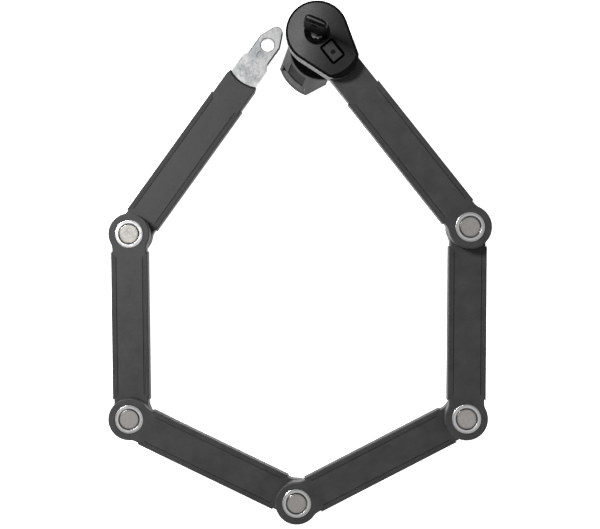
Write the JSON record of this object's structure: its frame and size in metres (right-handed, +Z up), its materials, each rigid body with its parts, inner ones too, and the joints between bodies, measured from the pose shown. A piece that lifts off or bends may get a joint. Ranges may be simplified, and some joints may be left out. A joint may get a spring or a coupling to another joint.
{
  "type": "folding bike lock",
  "caption": "folding bicycle lock opened into a loop: sleeved flat steel bars riveted in a descending chain, a drop-shaped head with key and button, and a pierced steel tongue",
  "frame": {"origin": "centre of the flat base of the lock head's barrel, on the barrel's axis", "axes": "+Z up along the barrel, bolt and pivot axes; +Y along the longest way across the opened loop, from its far pivot towards the head; +X completes a right-handed frame, towards the first pivot's side"},
  "size_m": [0.2855, 0.3823, 0.121],
  "materials": {
    "housing_black": "satin moulded shell",
    "face_texture": "fine textured face plate",
    "sleeve_plastic": "fine grained moulded sleeve",
    "rail_plastic": "slightly smoother edge strip",
    "bar_steel": "zinc plated hardened steel",
    "rivet_steel": "satin turned steel",
    "collar_plate": "plated ring",
    "core_steel": "machined steel",
    "mechanism_brass": "machined brass",
    "spring_steel": "drawn wire",
    "key_steel": "nickel plated blade",
    "key_plastic": "smooth moulded bow",
    "button_plastic": "satin button"
  },
  "bodies": {
    "lock_head": {"lower_housing": "housing_black", "slot_liner": "core_steel", "lock_core": "core_steel", "base_cover": "housing_black", "base_screws": "rivet_steel", "neck_housing": "housing_black", "upper_housing": "housing_black", "cap_rim": "housing_black", "top_cap": "face_texture", "keyhole_bezel": "housing_black", "cylinder_housing": "mechanism_brass", "bolt_spring": "spring_steel", "button_spring": "spring_steel", "head_bar": "bar_steel", "head_bar_sleeve": "sleeve_plastic", "edge_rails_1": "rail_plastic", "pivot_rivet_1": "rivet_steel", "top_collar_1": "collar_plate", "spacer_washer_1": "core_steel"},
    "link_2": {"link_bar_2": "bar_steel", "link_sleeve_2": "sleeve_plastic", "edge_rails_2": "rail_plastic", "bottom_collar_1": "collar_plate", "pivot_rivet_2": "rivet_steel", "top_collar_2": "collar_plate", "spacer_washer_2": "core_steel"},
    "link_3": {"link_bar_3": "bar_steel", "link_sleeve_3": "sleeve_plastic", "edge_rails_3": "rail_plastic", "bottom_collar_2": "collar_plate", "pivot_rivet_3": "rivet_steel", "top_collar_3": "collar_plate", "spacer_washer_3": "core_steel"},
    "link_4": {"link_bar_4": "bar_steel", "link_sleeve_4": "sleeve_plastic", "edge_rails_4": "rail_plastic", "bottom_collar_3": "collar_plate", "pivot_rivet_4": "rivet_steel", "top_collar_4": "collar_plate", "spacer_washer_4": "core_steel"},
    "link_5": {"link_bar_5": "bar_steel", "link_sleeve_5": "sleeve_plastic", "edge_rails_5": "rail_plastic", "bottom_collar_4": "collar_plate", "pivot_rivet_5": "rivet_steel", "top_collar_5": "collar_plate", "spacer_washer_5": "core_steel"},
    "tongue_link": {"tongue_bar": "bar_steel", "tongue_bar_sleeve": "sleeve_plastic", "edge_rails_6": "rail_plastic", "bottom_collar_5": "collar_plate"},
    "plug": {"cylinder_plug": "rivet_steel", "wafers": "mechanism_brass", "retaining_clip": "spring_steel", "plug_cam": "core_steel"},
    "key": {"key_blade": "key_steel", "key_bow": "key_plastic"},
    "bolt": {"locking_bolt": "core_steel"},
    "button": {"lock_button": "button_plastic"}
  },
  "joints": [
    {"name": "pivot_1", "type": "hinge", "parent": "lock_head", "child": "link_2", "pos_m": [0.11056, -0.1395, 0.0635], "axis": [0, 0, 1], "range_deg": [-0.12, 218.7]},
    {"name": "pivot_2", "type": "hinge", "parent": "link_2", "child": "link_3", "pos_m": [0.10934, -0.27949, 0.0515], "axis": [0, 0, 1], "range_deg": [-0.12, 242]},
    {"name": "pivot_3", "type": "hinge", "parent": "link_3", "child": "link_4", "pos_m": [-0.01506, -0.3437, 0.0395], "axis": [0, 0, 1], "range_deg": [-0.12, 232.8]},
    {"name": "pivot_4", "type": "hinge", "parent": "link_4", "child": "link_5", "pos_m": [-0.14121, -0.28299, 0.0275], "axis": [0, 0, 1], "range_deg": [-0.12, 243.2]},
    {"name": "pivot_5", "type": "hinge", "parent": "link_5", "child": "tongue_link", "pos_m": [-0.14329, -0.14301, 0.0155], "axis": [0, 0, 1], "range_deg": [-0.12, 204.5]},
    {"name": "plug_turn", "type": "hinge", "parent": "lock_head", "child": "plug", "pos_m": [0, 0, 0.06], "axis": [0, 0, 1], "range_deg": [0, 90]},
    {"name": "key_pull", "type": "slide", "parent": "plug", "child": "key", "axis": [0, 0, 1], "range_m": [0, 0.034]},
    {"name": "bolt_drop", "type": "slide", "parent": "lock_head", "child": "bolt", "axis": [0, 0, -1], "range_m": [0, 0.0116], "deforming": ["bolt_spring"]},
    {"name": "button_press", "type": "slide", "parent": "lock_head", "child": "button", "axis": [0, 0, -1], "range_m": [0, 0.0018], "stiffness_N_per_m": 600, "springref_m": -0.002, "deforming": ["button_spring"]}
  ],
  "couplings": [
    {"joint": "bolt_drop", "follows": "plug_turn", "m_per_rad": 0.0073211}
  ]
}
